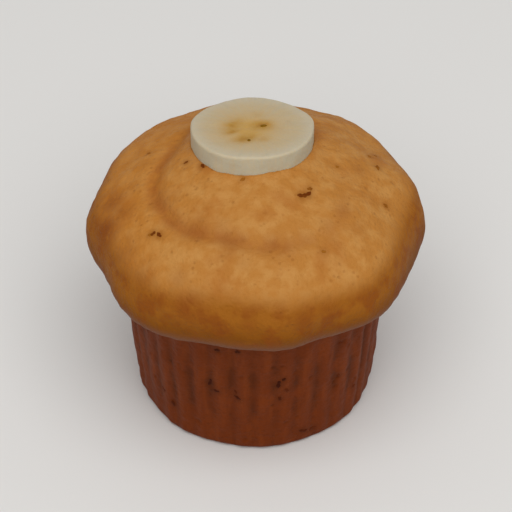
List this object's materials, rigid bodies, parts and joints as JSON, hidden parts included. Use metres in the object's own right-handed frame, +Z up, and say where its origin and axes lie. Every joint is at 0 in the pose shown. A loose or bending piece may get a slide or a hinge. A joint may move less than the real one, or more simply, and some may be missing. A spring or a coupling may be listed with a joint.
{
  "type": "banana muffin",
  "caption": "Domed muffin with a spreading cap over a tapered, pleat-marked stump, topped with a round of banana bedded in its crown.",
  "frame": {"origin": "middle of the flat foot that the muffin stands on", "axes": "+Z up out of the crown, -Y towards the side that faces the viewer, +X to the viewer's right"},
  "size_m": [0.0795, 0.078, 0.0729],
  "materials": {
    "crust": "baked golden-brown crust, matt to satin, darker and redder on the stump",
    "banana": "pale, slightly moist banana flesh"
  },
  "bodies": {
    "root": {"muffin": "crust", "banana_slice": "banana"}
  },
  "joints": []
}
